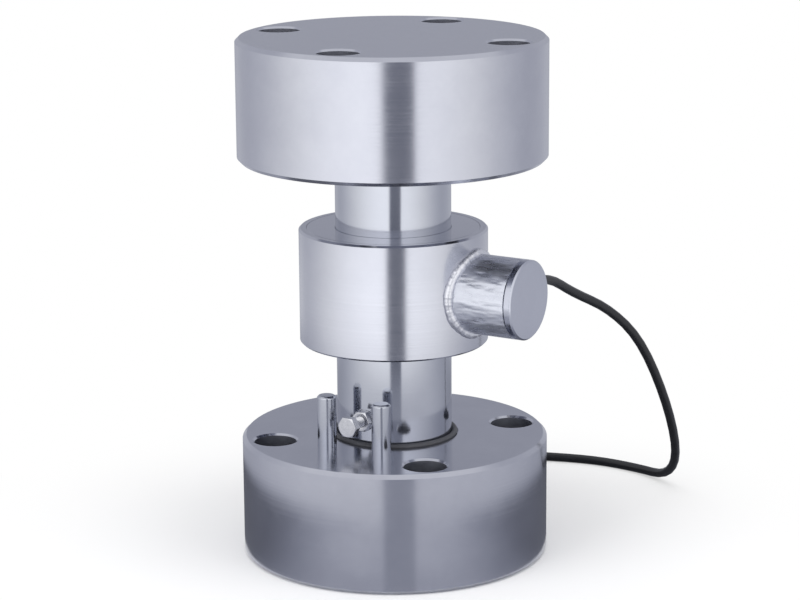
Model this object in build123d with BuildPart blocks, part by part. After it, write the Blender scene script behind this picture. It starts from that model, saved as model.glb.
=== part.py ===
from build123d import *
import os
from math import pi, radians, sqrt, tan

# A canister load cell that weighs in compression. A turned steel column carries the load between two
# thick round plates, and a sleeve round its middle keeps the strain gauges dry. The origin is the
# centre of the base plate's underside, +Z points up the column, and +X runs along the cable stub.

# Mounting plates
plate_dia = 160.0
plate_thick = 63.0
plate_edge = 2.0
bolt_rim_distance = 16.0
bolt_count = 4
bolt_hole_dia = 22.0
bolt_hole_edge = 1.0
base_hole_turn = 45.0
top_hole_turn = 7.0

# Column, from its foot to its head
column_dia = 60.0
column_edge = 1.0
column_end_radius = 150.0
foot_depth = 22.0
lower_neck = 50.0
upper_neck = 36.0
gauge_dia = 44.0
gauge_across_flats = 40.0
gauge_length = 40.0
gauge_root = 3.0

# Pockets that the column stands in, with their hardened discs and dust seals
pocket_play = 2.0
disc_thick = 10.0
disc_play = 0.1
disc_edge = 1.0
seal_section = 3.0
seal_play = 0.1
seal_seat_depth = 1.2
seal_seat_play = 0.4

# Sleeve and the two rings that close it
sleeve_dia = 98.0
sleeve_length = 60.0
sleeve_wall = 4.0
sleeve_edge = 1.0
end_ring_thick = 5.0
end_ring_web = 1.2
end_ring_hub = 3.0
end_ring_rim = 3.0
end_ring_edge = 0.3

# Strain gauges and the ring-shaped board that joins them
strain_gauge_wide = 10.0
strain_gauge_tall = 14.0
strain_gauge_thick = 0.3
board_thick = 1.6
ring_board_gap = 5.0
ring_board_play = 0.5
lead_dia = 3.0
lead_from_board_rim = 4.0
lead_bend = 6.0
wire_port_dia = 14.0

# Cable stub on the sleeve
stub_dia = 41.0
stub_length = 27.0
stub_weld = 3.0
stub_bore_dia = 33.0
stub_throat_dia = 29.0
terminal_board_from_end = 22.0
terminal_board_play = 0.1
cap_thick = 4.0
cap_edge = 0.8
cap_spigot_length = 5.0
cap_spigot_play = 0.05
cap_groove_from_flange = 1.4
cap_groove_wide = 2.0
cap_groove_deep = 1.45
joint_edge = 0.3

# Cable gland on the back of the stub
gland_from_end = 14.0
gland_spot_dia = 18.0
gland_thread_dia = 12.0
gland_thread_length = 8.0
gland_hex = 14.0
gland_washer_dia = 16.0
gland_washer_thick = 1.5
gland_hex_thick = 4.5
gland_neck_dia = 11.0
gland_neck_length = 5.0
gland_body_bore_dia = 5.4
gland_insert_dia = 8.2
gland_insert_length = 6.0
gland_insert_play = 0.1
gland_nut_gap = 0.3
gland_nut_roof = 3.0
gland_nut_edge = 1.2
gland_nut_play = 0.05
boot_root_dia = 7.5
boot_tip_dia = 6.2
boot_length = 8.0

# Cable, its coil and its stripped end
cable_dia = 5.0
cable_root_from_axis = 3.0
route_share = 0.45
coil_inner_turn = 25.0
coil_turns_across = 5
coil_layers = 4
coil_x = -70.0
coil_y = 118.0
coil_lead_in = 23.0
cable_last_run = 20.0
tie_wide = 5.0
tie_thick = 1.0
tie_angle = 200.0
end_sleeve_dia = 6.4
end_sleeve_length = 18.0
core_count = 4
core_dia = 1.6
core_length = 26.0
core_spread = 6.0
core_root = 1.0
end_from_coil_centre = 33.0
end_start = 26.0

# Anti-rotation pins in the base and the screw in the column's foot that runs between them
pin_dia = 10.0
pin_height = 27.0
pin_depth = 20.0
pin_edge = 1.0
pin_circle_radius = 43.5
pin_half_angle = 22.2
screw_height = 13.4
screw_dia = 6.0
screw_depth = 12.0
screw_hole_depth = 14.0
screw_spot_dia = 12.0
screw_head_across = 10.0
screw_head_thick = 4.0
nut_thick = 5.0
screw_head_gap = 8.8
hex_edge = 0.6

# Heights worked out from the sizes above
base_top = plate_thick
sleeve_bottom = base_top + lower_neck
sleeve_top = sleeve_bottom + sleeve_length
top_plate_bottom = sleeve_top + upper_neck
overall_height = top_plate_bottom + plate_thick
foot_bottom = base_top - foot_depth
head_top = top_plate_bottom + foot_depth
stub_height = (sleeve_bottom + sleeve_top) / 2
gauge_bottom = stub_height - gauge_length / 2
gauge_top = stub_height + gauge_length / 2

# Radii worked out from the sizes above
column_radius = column_dia / 2
pocket_radius = column_radius + pocket_play
pocket_depth = foot_depth + disc_thick
seal_radius = seal_section / 2
seal_ring_radius = column_radius + seal_play + seal_radius
seal_seat_radius = seal_ring_radius + seal_radius + seal_seat_play
sleeve_radius = sleeve_dia / 2
sleeve_bore_radius = sleeve_radius - sleeve_wall
gauge_radius = gauge_dia / 2
stub_radius = stub_dia / 2
stub_bore_radius = stub_bore_dia / 2
cable_radius = cable_dia / 2
bolt_circle_radius = plate_dia / 2 - bolt_rim_distance
ring_board_radius = sleeve_bore_radius - ring_board_gap

# Distances from the column's axis worked out from the sizes above
stub_reach = sleeve_radius + stub_length
lead_from_axis = ring_board_radius - lead_from_board_rim
terminal_board_from_axis = stub_reach - terminal_board_from_end
gland_from_axis = stub_reach - gland_from_end


def crown(radius):
    """How far the column's rounded end has fallen back at a radius from its axis."""
    return column_end_radius - sqrt(column_end_radius**2 - radius**2)


os.makedirs("parts", exist_ok=True)


def save(piece, name):
    """Label a finished piece and write its file."""
    piece.part.label = name
    export_step(piece.part, f"parts/{name}.step")


# Base plate: a turned disc with a blind pocket for the column's foot, four through holes for the
# foundation bolts and two blind holes for the anti-rotation pins.
pin_places = [
    Vector(0, -pin_circle_radius).rotate(Axis.Z, side * pin_half_angle) for side in (-1, 1)
]
with BuildPart() as base_plate:
    with BuildSketch():
        Circle(plate_dia / 2)
    extrude(amount=plate_thick)
    chamfer(base_plate.edges().filter_by(GeomType.CIRCLE), plate_edge)
    with Locations((0, 0, base_top)):
        CounterBoreHole(pocket_radius, seal_seat_radius, seal_seat_depth, pocket_depth)
    with PolarLocations(bolt_circle_radius, bolt_count, start_angle=base_hole_turn):
        Hole(bolt_hole_dia / 2)
    hole_rims = base_plate.edges().filter_by(GeomType.CIRCLE)
    chamfer(hole_rims.filter_by(lambda rim: abs(rim.radius - bolt_hole_dia / 2) < 0.01), bolt_hole_edge)
    with Locations(*[place + Vector(0, 0, base_top) for place in pin_places]):
        Hole(pin_dia / 2, depth=pin_depth)
save(base_plate, "base_plate")

# Top plate: the same disc the other way up, free to be turned on the column.
top_mouth = Plane(origin=(0, 0, top_plate_bottom), z_dir=(0, 0, -1))
with BuildPart() as top_plate:
    with BuildSketch(Plane.XY.offset(top_plate_bottom)):
        Circle(plate_dia / 2)
    extrude(amount=plate_thick)
    chamfer(top_plate.edges().filter_by(GeomType.CIRCLE), plate_edge)
    with Locations(top_mouth):
        CounterBoreHole(pocket_radius, seal_seat_radius, seal_seat_depth, pocket_depth)
    with PolarLocations(bolt_circle_radius, bolt_count, start_angle=top_hole_turn):
        with Locations((0, 0, overall_height)):
            Hole(bolt_hole_dia / 2, depth=plate_thick)
    hole_rims = top_plate.edges().filter_by(GeomType.CIRCLE)
    chamfer(hole_rims.filter_by(lambda rim: abs(rim.radius - bolt_hole_dia / 2) < 0.01), bolt_hole_edge)
save(top_plate, "top_plate")

# Hardened discs at the bottom of the two pockets, which the column's rounded ends rock on.
disc_bottoms = {"lower_pressure_disc": foot_bottom - disc_thick, "upper_pressure_disc": head_top}
for disc_name, disc_bottom in disc_bottoms.items():
    with BuildPart() as pressure_disc:
        with BuildSketch(Plane.XY.offset(disc_bottom)):
            Circle(pocket_radius - disc_play)
        extrude(amount=disc_thick)
        chamfer(pressure_disc.edges().filter_by(GeomType.CIRCLE), disc_edge)
    save(pressure_disc, disc_name)

# Dust seals: rubber rings stretched round the column, each in the seat at its pocket's mouth.
seal_heights = {
    "lower_seal_ring": base_top - seal_seat_depth + seal_radius,
    "upper_seal_ring": top_plate_bottom + seal_seat_depth - seal_radius,
}
for seal_name, seal_height in seal_heights.items():
    with BuildPart() as seal_ring:
        with Locations((0, 0, seal_height)):
            Torus(seal_ring_radius, seal_radius)
    save(seal_ring, seal_name)

# Load column: turned from one bar, rounded at both ends and waisted where the gauges are bonded, with
# four flats on the waist and a tapped hole with a spot face in its foot.
screw_plane = Plane(origin=(0, 0, base_top + screw_height), x_dir=(1, 0, 0), z_dir=(0, -1, 0))
screw_seat = sqrt(column_radius**2 - (screw_spot_dia / 2) ** 2)
with BuildPart() as load_column:
    with BuildSketch(Plane.XZ):
        with BuildLine():
            shoulder = column_radius - column_edge
            half_way = shoulder / 2
            foot_rim = foot_bottom + crown(shoulder)
            head_rim = head_top - crown(shoulder)
            ThreePointArc(
                (0, foot_bottom), (half_way, foot_bottom + crown(half_way)), (shoulder, foot_rim)
            )
            Polyline(
                (shoulder, foot_rim),
                (column_radius, foot_rim + column_edge),
                (column_radius, gauge_bottom),
                (gauge_radius, gauge_bottom),
                (gauge_radius, gauge_top),
                (column_radius, gauge_top),
                (column_radius, head_rim - column_edge),
                (shoulder, head_rim),
            )
            ThreePointArc((shoulder, head_rim), (half_way, head_top - crown(half_way)), (0, head_top))
            Line((0, head_top), (0, foot_bottom))
        make_face()
    revolve(axis=Axis.Z)
    waist_rims = load_column.edges().filter_by(GeomType.CIRCLE)
    fillet(waist_rims.filter_by(lambda rim: abs(rim.radius - gauge_radius) < 0.01), gauge_root)
    with BuildSketch(Plane.XY.offset(gauge_bottom + gauge_root)):
        Circle(column_radius)
        Rectangle(gauge_across_flats, gauge_across_flats, mode=Mode.SUBTRACT)
    extrude(amount=gauge_length - 2 * gauge_root, mode=Mode.SUBTRACT)
    with BuildSketch(screw_plane.offset(screw_seat)):
        Circle(screw_spot_dia / 2)
    extrude(amount=column_radius, mode=Mode.SUBTRACT)
    with BuildSketch(screw_plane.offset(screw_seat)):
        Circle(screw_dia / 2)
    extrude(amount=-screw_hole_depth, mode=Mode.SUBTRACT)
save(load_column, "load_column")

# Anti-rotation pins: dowels pressed into the base, one each side of the screw.
for pin_number, pin_place in enumerate(pin_places, start=1):
    with BuildPart() as anti_rotation_pin:
        with BuildSketch(Plane.XY.offset(base_top - pin_depth)):
            with Locations(pin_place):
                Circle(pin_dia / 2)
        extrude(amount=pin_depth + pin_height)
        chamfer(anti_rotation_pin.edges().filter_by(GeomType.CIRCLE), pin_edge)
    save(anti_rotation_pin, f"anti_rotation_pin_{pin_number}")

# Anti-rotation screw: a hexagon screw that points out of the foot, so that the pins catch its head.
screw_head_seat = screw_seat + nut_thick + screw_head_gap
with BuildPart() as anti_rotation_screw:
    with BuildSketch(screw_plane.offset(screw_seat - screw_depth)):
        Circle(screw_dia / 2)
    extrude(amount=screw_depth + nut_thick + screw_head_gap)
    with BuildSketch(screw_plane.offset(screw_head_seat)):
        RegularPolygon(screw_head_across / 2, 6, major_radius=False)
    extrude(amount=screw_head_thick)
    head_face = anti_rotation_screw.faces().sort_by(Axis.Y)[0]
    chamfer(head_face.edges(), hex_edge)
save(anti_rotation_screw, "anti_rotation_screw")

# Lock nut that holds the screw against the spot face.
with BuildPart() as anti_rotation_nut:
    with BuildSketch(screw_plane.offset(screw_seat)):
        RegularPolygon(screw_head_across / 2, 6, major_radius=False)
        Circle(screw_dia / 2, mode=Mode.SUBTRACT)
    extrude(amount=nut_thick)
    nut_face = anti_rotation_nut.faces().sort_by(Axis.Y)[0]
    chamfer(nut_face.outer_wire().edges(), hex_edge)
save(anti_rotation_nut, "anti_rotation_nut")

# Rings that close the sleeve above and below: a hub on the column, a rim in the sleeve and a thin
# web between them, so that they take no load off the column.
end_planes = {
    "lower_end_ring": Plane(origin=(0, 0, sleeve_bottom), z_dir=(0, 0, 1)),
    "upper_end_ring": Plane(origin=(0, 0, sleeve_top), z_dir=(0, 0, -1)),
}
for ring_name, ring_plane in end_planes.items():
    with BuildPart() as end_ring:
        with BuildSketch(ring_plane):
            Circle(sleeve_bore_radius)
            Circle(column_radius, mode=Mode.SUBTRACT)
        extrude(amount=end_ring_thick)
        with BuildSketch(ring_plane.offset(end_ring_web)):
            Circle(sleeve_bore_radius - end_ring_rim)
            Circle(column_radius + end_ring_hub, mode=Mode.SUBTRACT)
        extrude(amount=end_ring_thick - end_ring_web, mode=Mode.SUBTRACT)
        outer_rims = end_ring.edges().filter_by(GeomType.CIRCLE).filter_by_position(
            Axis.Z, ring_plane.origin.Z, ring_plane.origin.Z
        )
        chamfer(outer_rims, end_ring_edge)
    save(end_ring, ring_name)

# Sleeve: a turned tube with a port for the wires, which the cable stub is welded over.
stub_plane = Plane(origin=(0, 0, stub_height), x_dir=(0, 1, 0), z_dir=(1, 0, 0))
with BuildPart() as sleeve:
    with BuildSketch(Plane.XY.offset(sleeve_bottom)):
        Circle(sleeve_radius)
        Circle(sleeve_bore_radius, mode=Mode.SUBTRACT)
    extrude(amount=sleeve_length)
    sleeve_rims = sleeve.edges().filter_by(GeomType.CIRCLE)
    chamfer(sleeve_rims.filter_by(lambda rim: abs(rim.radius - sleeve_radius) < 0.01), sleeve_edge)
    with BuildSketch(stub_plane):
        Circle(wire_port_dia / 2)
    extrude(amount=sleeve_dia, mode=Mode.SUBTRACT)
save(sleeve, "sleeve")

# Strain gauges: one foil patch bonded to each flat of the waist.
flat_from_axis = gauge_across_flats / 2
for gauge_number in range(4):
    gauge_out = Vector(1, 0).rotate(Axis.Z, 90 * gauge_number)
    gauge_plane = Plane(
        origin=gauge_out * flat_from_axis + Vector(0, 0, stub_height), x_dir=(0, 0, 1), z_dir=gauge_out
    )
    with BuildPart() as strain_gauge:
        with BuildSketch(gauge_plane):
            Rectangle(strain_gauge_tall, strain_gauge_wide)
        extrude(amount=strain_gauge_thick)
    save(strain_gauge, f"strain_gauge_{gauge_number + 1}")

# Bridge board: a ring on the lower shoulder of the waist, where the gauges are wired together.
with BuildPart() as bridge_board:
    with BuildSketch(Plane.XY.offset(gauge_bottom)):
        Circle(ring_board_radius)
        Circle(gauge_radius + gauge_root + ring_board_play, mode=Mode.SUBTRACT)
    extrude(amount=board_thick)
save(bridge_board, "bridge_board")

# Inner lead: it rises from the bridge board and turns out through the sleeve's wire port.
with BuildPart() as inner_lead:
    with BuildLine() as lead_route:
        FilletPolyline(
            (lead_from_axis, 0, gauge_bottom + board_thick),
            (lead_from_axis, 0, stub_height),
            (terminal_board_from_axis, 0, stub_height),
            radius=lead_bend,
        )
    with BuildSketch(Plane(origin=lead_route.line @ 0, z_dir=lead_route.line % 0)):
        Circle(lead_dia / 2)
    sweep(path=lead_route.line)
save(inner_lead, "inner_lead")

# Stub housing: a tube set square on the sleeve, with a weld all round its foot. The sleeve's own
# round is cut out of it, so that it seats on the tube, and a flat on its back takes the gland.
gland_plane = Plane(origin=(gland_from_axis, 0, stub_height), x_dir=(1, 0, 0), z_dir=(0, 1, 0))
gland_seat = sqrt(stub_radius**2 - (gland_spot_dia / 2) ** 2)
with BuildPart() as stub_housing:
    with BuildSketch(Plane.XY.offset(sleeve_bottom)):
        Circle(sleeve_radius)
    extrude(amount=sleeve_length)
    with BuildSketch(stub_plane):
        Circle(stub_radius)
    extrude(amount=stub_reach)
    weld_line = [
        edge
        for edge in stub_housing.edges()
        if edge.geom_type not in (GeomType.CIRCLE, GeomType.LINE)
    ]
    chamfer(weld_line, stub_weld)
    with BuildSketch(Plane.XY.offset(sleeve_bottom)):
        Circle(sleeve_radius)
    extrude(amount=sleeve_length, mode=Mode.SUBTRACT)
    with BuildSketch(stub_plane):
        Circle(stub_throat_dia / 2)
    extrude(amount=stub_reach, mode=Mode.SUBTRACT)
    with BuildSketch(stub_plane.offset(terminal_board_from_axis)):
        Circle(stub_bore_radius)
    extrude(amount=stub_reach - terminal_board_from_axis, mode=Mode.SUBTRACT)
    end_rims = stub_housing.edges().filter_by(GeomType.CIRCLE).group_by(Axis.X)[-1]
    chamfer(end_rims.sort_by(SortBy.RADIUS)[-1], joint_edge)
    with BuildSketch(gland_plane.offset(gland_seat)):
        Circle(gland_spot_dia / 2)
    extrude(amount=stub_radius, mode=Mode.SUBTRACT)
    with BuildSketch(gland_plane):
        Circle(gland_thread_dia / 2)
    extrude(amount=stub_radius, mode=Mode.SUBTRACT)
save(stub_housing, "stub_housing")

# Terminal board: it stands on the step in the stub's bore.
with BuildPart() as terminal_board:
    with BuildSketch(stub_plane.offset(terminal_board_from_axis)):
        Circle(stub_bore_radius - terminal_board_play)
    extrude(amount=board_thick)
save(terminal_board, "terminal_board")

# End cap: a disc with a spigot in the stub's bore, grooved for its seal.
groove_radius = stub_bore_radius - cap_groove_deep
groove_from_axis = stub_reach - cap_groove_from_flange - cap_groove_wide
with BuildPart() as stub_end_cap:
    with BuildSketch(stub_plane.offset(stub_reach)):
        Circle(stub_radius)
    extrude(amount=cap_thick)
    cap_rims = stub_end_cap.edges().filter_by(GeomType.CIRCLE).sort_by(Axis.X)
    chamfer(cap_rims[-1], cap_edge)
    chamfer(cap_rims[0], joint_edge)
    with BuildSketch(stub_plane.offset(stub_reach - cap_spigot_length)):
        Circle(stub_bore_radius - cap_spigot_play)
    extrude(amount=cap_spigot_length)
    with BuildSketch(stub_plane.offset(groove_from_axis)):
        Circle(stub_bore_radius)
        Circle(groove_radius, mode=Mode.SUBTRACT)
    extrude(amount=cap_groove_wide, mode=Mode.SUBTRACT)
save(stub_end_cap, "stub_end_cap")

# Seal in the cap's groove, squeezed between the groove and the stub's bore.
cap_seal_radius = cap_groove_deep / 2
with BuildPart() as cap_seal_ring:
    with Locations(stub_plane.offset(groove_from_axis + cap_groove_wide / 2)):
        Torus(groove_radius + cap_seal_radius, cap_seal_radius)
save(cap_seal_ring, "cap_seal_ring")

# Stations along the gland, measured from the stub's axis
gland_hex_foot = gland_seat + gland_washer_thick
gland_hex_top = gland_hex_foot + gland_hex_thick
gland_neck_top = gland_hex_top + gland_neck_length
gland_nut_foot = gland_hex_top + gland_nut_gap
gland_nut_top = gland_neck_top + gland_nut_roof
gland_insert_foot = gland_neck_top - gland_insert_length
gland_thread_end = gland_seat - gland_thread_length
boot_tip = gland_nut_top + boot_length

# Potting: silicone poured into the stub round the gland's thread and the cable's root.
with BuildPart() as stub_potting:
    with BuildSketch(stub_plane.offset(terminal_board_from_axis + board_thick)):
        Circle(stub_bore_radius)
    extrude(amount=stub_reach - cap_spigot_length - terminal_board_from_axis - board_thick)
    with BuildSketch(gland_plane.offset(gland_thread_end)):
        Circle(gland_thread_dia / 2)
    extrude(amount=stub_radius, mode=Mode.SUBTRACT)
    with BuildSketch(gland_plane.offset(cable_root_from_axis)):
        Circle(cable_radius)
    extrude(amount=stub_radius, mode=Mode.SUBTRACT)
save(stub_potting, "stub_potting")

# Gland washer: a flat seal between the stub's spot face and the gland.
with BuildPart() as gland_washer:
    with BuildSketch(gland_plane.offset(gland_seat)):
        Circle(gland_washer_dia / 2)
        Circle(gland_thread_dia / 2, mode=Mode.SUBTRACT)
    extrude(amount=gland_washer_thick)
save(gland_washer, "gland_washer")

# Gland body: a thread into the stub, a hexagon and a neck that holds the rubber insert.
with BuildPart() as gland_body:
    with BuildSketch(gland_plane.offset(gland_thread_end)):
        Circle(gland_thread_dia / 2)
    extrude(amount=gland_hex_foot - gland_thread_end)
    with BuildSketch(gland_plane.offset(gland_hex_foot)):
        RegularPolygon(gland_hex / 2, 6, major_radius=False)
    extrude(amount=gland_hex_thick)
    with BuildSketch(gland_plane.offset(gland_hex_top)):
        Circle(gland_neck_dia / 2)
    extrude(amount=gland_neck_length)
    with BuildSketch(gland_plane.offset(gland_thread_end)):
        Circle(gland_body_bore_dia / 2)
    extrude(amount=gland_neck_top - gland_thread_end, mode=Mode.SUBTRACT)
    with BuildSketch(gland_plane.offset(gland_insert_foot)):
        Circle(gland_insert_dia / 2 + gland_insert_play)
    extrude(amount=gland_insert_length, mode=Mode.SUBTRACT)
save(gland_body, "gland_body")

# Gland nut: a hexagon cap whose roof squeezes the insert round the cable.
with BuildPart() as gland_nut:
    with BuildSketch(gland_plane.offset(gland_nut_foot)):
        RegularPolygon(gland_hex / 2, 6, major_radius=False)
    extrude(amount=gland_nut_top - gland_nut_foot)
    nut_crown = gland_nut.faces().sort_by(Axis.Y)[-1]
    chamfer(nut_crown.edges(), gland_nut_edge)
    with BuildSketch(gland_plane.offset(gland_nut_foot)):
        Circle(gland_neck_dia / 2 + gland_nut_play)
    extrude(amount=gland_neck_top - gland_nut_foot, mode=Mode.SUBTRACT)
    with BuildSketch(gland_plane.offset(gland_nut_foot)):
        Circle(boot_root_dia / 2)
    extrude(amount=gland_nut_top - gland_nut_foot, mode=Mode.SUBTRACT)
save(gland_nut, "gland_nut")

# Cable boot: the rubber insert and its tapered tail, moulded in one.
with BuildPart() as cable_boot:
    with BuildSketch(gland_plane.offset(gland_insert_foot)):
        Circle(gland_insert_dia / 2)
    extrude(amount=gland_insert_length)
    with BuildSketch(gland_plane.offset(gland_neck_top)):
        Circle(boot_root_dia / 2)
    extrude(amount=gland_nut_roof)
    with BuildSketch(gland_plane.offset(gland_nut_top)):
        Circle(boot_root_dia / 2)
    with BuildSketch(gland_plane.offset(boot_tip)):
        Circle(boot_tip_dia / 2)
    loft()
    with BuildSketch(gland_plane.offset(gland_insert_foot)):
        Circle(cable_radius)
    extrude(amount=boot_tip - gland_insert_foot, mode=Mode.SUBTRACT)
save(cable_boot, "cable_boot")

# Cable root: the end of the cable that is held in the gland and potted in the stub.
with BuildPart() as cable_root:
    with BuildSketch(gland_plane.offset(cable_root_from_axis)):
        Circle(cable_radius)
    extrude(amount=boot_tip - cable_root_from_axis)
save(cable_root, "cable_root")

# Cable: the free length droops from the gland, reaches the floor behind the plates and runs to its
# coil. Its corners are rounded by arcs as large as their two runs allow.
coil_outer_turn = coil_inner_turn + cable_dia * (coil_turns_across - 1)
coil_outer_radius = coil_outer_turn + cable_radius
coil_top = cable_dia * coil_layers
cable_route = [
    Vector(gland_from_axis, boot_tip, stub_height),
    Vector(gland_from_axis, 55, stub_height),
    Vector(64.5, 77, 131),
    Vector(74, 102, 117.5),
    Vector(85, 120, 96),
    Vector(94, 136, 57),
    Vector(97, 151, 15),
    Vector(87, 169, cable_radius),
    Vector(61, 181, cable_radius),
    Vector(26, 182, cable_radius),
    Vector(-8, 172, cable_radius),
    Vector(coil_x + coil_lead_in + cable_last_run, coil_y + coil_outer_turn, cable_radius),
    Vector(coil_x + coil_lead_in, coil_y + coil_outer_turn, cable_radius),
]
route_radii = []
for before, corner, after in zip(cable_route, cable_route[1:], cable_route[2:]):
    run_in = corner - before
    run_out = after - corner
    turn = run_in.get_angle(run_out)
    route_radii.append(route_share * min(run_in.length, run_out.length) / tan(radians(turn / 2)))
print("cable corner radii:", [round(radius, 1) for radius in route_radii])
with BuildPart() as cable:
    with BuildLine() as cable_line:
        FilletPolyline(*cable_route, radius=route_radii)
    with BuildSketch(Plane(origin=cable_line.line @ 0, z_dir=cable_line.line % 0)):
        Circle(cable_radius)
    sweep(path=cable_line.line)
cable_length = sum(edge.length for edge in cable_line.edges())
print("cable length:", round(cable_length), "mm")
print("cable volume share:", round(cable.part.volume / (pi * cable_radius**2 * cable_length), 4))
save(cable, "cable")

# Coil: the put-away length as one ring, with the straight piece that leads into its outer turn.
coil_lead = Plane(
    origin=(coil_x + coil_lead_in, coil_y + coil_outer_turn, cable_radius), z_dir=(-1, 0, 0)
)
tie_out = Vector(1, 0).rotate(Axis.Z, tie_angle)
tie_plane = Plane(origin=(coil_x, coil_y, coil_top / 2), x_dir=tie_out, z_dir=tie_out.cross(Vector(0, 0, 1)))
tie_middle = (coil_inner_turn + coil_outer_turn) / 2
tie_across = cable_dia * coil_turns_across
with BuildPart() as cable_coil:
    with BuildSketch():
        with Locations((coil_x, coil_y)):
            Circle(coil_outer_radius)
            Circle(coil_inner_turn - cable_radius, mode=Mode.SUBTRACT)
    extrude(amount=coil_top)
    with BuildSketch(coil_lead):
        Circle(cable_radius)
    extrude(amount=coil_lead_in)
    with BuildSketch(tie_plane):
        with Locations((tie_middle, (tie_thick - coil_top) / 2)):
            Rectangle(tie_across + 2 * tie_thick, tie_thick)
    extrude(amount=tie_wide / 2, both=True, mode=Mode.SUBTRACT)
save(cable_coil, "cable_coil")

# Coil tie: a strap looped round the turns, let into the underside of the coil.
coil_inner_radius = coil_inner_turn - cable_radius
tie_inner_face = sqrt(coil_inner_radius**2 - (tie_wide / 2) ** 2)
tie_loop_wide = coil_outer_radius - tie_inner_face
with BuildPart() as coil_tie:
    with BuildSketch(tie_plane):
        with Locations(((coil_outer_radius + tie_inner_face) / 2, tie_thick / 2)):
            Rectangle(tie_loop_wide + 2 * tie_thick, coil_top + tie_thick)
            Rectangle(tie_loop_wide, coil_top - tie_thick, mode=Mode.SUBTRACT)
    extrude(amount=tie_wide / 2, both=True)
save(coil_tie, "coil_tie")

# End of the cable: a shrunk sleeve that lies on the coil, with the four cores fanned out of it.
end_plane = Plane(
    origin=(coil_x, coil_y + end_from_coil_centre, coil_top), x_dir=(0, 1, 0), z_dir=(-1, 0, 0)
)
end_tip = end_sleeve_length - end_start
with BuildPart() as cable_end_sleeve:
    with BuildSketch(end_plane.offset(-end_start)):
        with Locations((0, -end_sleeve_dia / 2)):
            Circle(end_sleeve_dia / 2)
    extrude(amount=end_sleeve_length)
save(cable_end_sleeve, "cable_end_sleeve")

# Cores: each starts in the sleeve's face and comes down to rest on the coil.
for core_number in range(core_count):
    core_column, core_row = divmod(core_number, 2)
    root_x = (2 * core_column - 1) * core_root
    root_y = -end_sleeve_dia / 2 + (2 * core_row - 1) * core_root
    tip_x = (core_number - (core_count - 1) / 2) * core_spread
    with BuildPart() as core:
        with BuildSketch(end_plane.offset(end_tip)):
            with Locations((root_x, root_y)):
                Circle(core_dia / 2)
        with BuildSketch(end_plane.offset(end_tip + core_length)):
            with Locations((tip_x, -core_dia / 2)):
                Circle(core_dia / 2)
        loft()
    save(core, f"cable_core_{core_number + 1}")
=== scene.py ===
from math import cos, exp, pi, radians, sin, sqrt

import bpy
from mathutils import Matrix, Vector


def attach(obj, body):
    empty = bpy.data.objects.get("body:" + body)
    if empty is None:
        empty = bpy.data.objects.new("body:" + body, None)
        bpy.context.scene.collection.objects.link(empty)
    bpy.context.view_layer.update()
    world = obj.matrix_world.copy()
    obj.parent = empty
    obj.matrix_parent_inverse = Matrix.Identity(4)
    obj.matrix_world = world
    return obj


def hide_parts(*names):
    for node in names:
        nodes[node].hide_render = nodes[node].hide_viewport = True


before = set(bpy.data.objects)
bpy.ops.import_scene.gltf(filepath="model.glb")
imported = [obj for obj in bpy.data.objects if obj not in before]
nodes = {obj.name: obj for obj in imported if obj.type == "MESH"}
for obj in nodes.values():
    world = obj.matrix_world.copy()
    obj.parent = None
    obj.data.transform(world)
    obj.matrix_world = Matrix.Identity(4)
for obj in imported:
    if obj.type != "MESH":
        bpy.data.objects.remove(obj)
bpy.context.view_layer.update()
scene = bpy.context.scene
MM = 0.001

# Camera: the photograph looks slightly down on the load cell with a long lens, from the side on which
# the anti-rotation screw and the cable stub are seen.
photo_azimuth = radians(31.3)
camera_place = Vector((0.6885, -1.1324, 0.45335))
camera_pan, camera_tilt, camera_roll = radians(31.16), radians(76.44), radians(-0.39)
lens_length, sensor_width = 117.88, 36.0
camera_data = bpy.data.cameras.new("camera")
camera_data.lens = lens_length
camera_data.sensor_width = sensor_width
camera = bpy.data.objects.new("camera", camera_data)
scene.collection.objects.link(camera)
camera.matrix_world = (
    Matrix.Translation(camera_place)
    @ Matrix.Rotation(camera_pan, 4, "Z")
    @ Matrix.Rotation(camera_tilt, 4, "X")
    @ Matrix.Rotation(camera_roll, 4, "Z")
)
scene.camera = camera
scene.view_settings.view_transform = "Standard"


# Cable: a black polyurethane-jacketed instrument cable of 5 mm. It leaves the gland on the back of the
# stub, droops to the floor behind the plates, and its spare length is wound into a neat flat coil.
def colour(code):
    """An sRGB hex colour as the linear values that a socket takes."""
    shares = [int(code[place : place + 2], 16) / 255 for place in (1, 3, 5)]
    return (*[s / 12.92 if s <= 0.04045 else ((s + 0.055) / 1.055) ** 2.4 for s in shares], 1.0)


def node(tree, kind, inputs=(), **settings):
    """Add a node with its settings, and give each named input a value or another node's output."""
    new = tree.nodes.new(kind)
    for setting, value in settings.items():
        setattr(new, setting, value)
    for socket, value in dict(inputs).items():
        if isinstance(value, bpy.types.NodeSocket):
            tree.links.new(value, new.inputs[socket])
        else:
            new.inputs[socket].default_value = value
    return new


def start_material(name, **sockets):
    """A new material and its shader, with what is the same all over it set on the shader's sockets."""
    material = bpy.data.materials.new(name)
    material.use_nodes = True
    shader = material.node_tree.nodes["Principled BSDF"]
    for socket, value in sockets.items():
        shader.inputs[socket.replace("_", " ")].default_value = value
    return material, material.node_tree, shader


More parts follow.
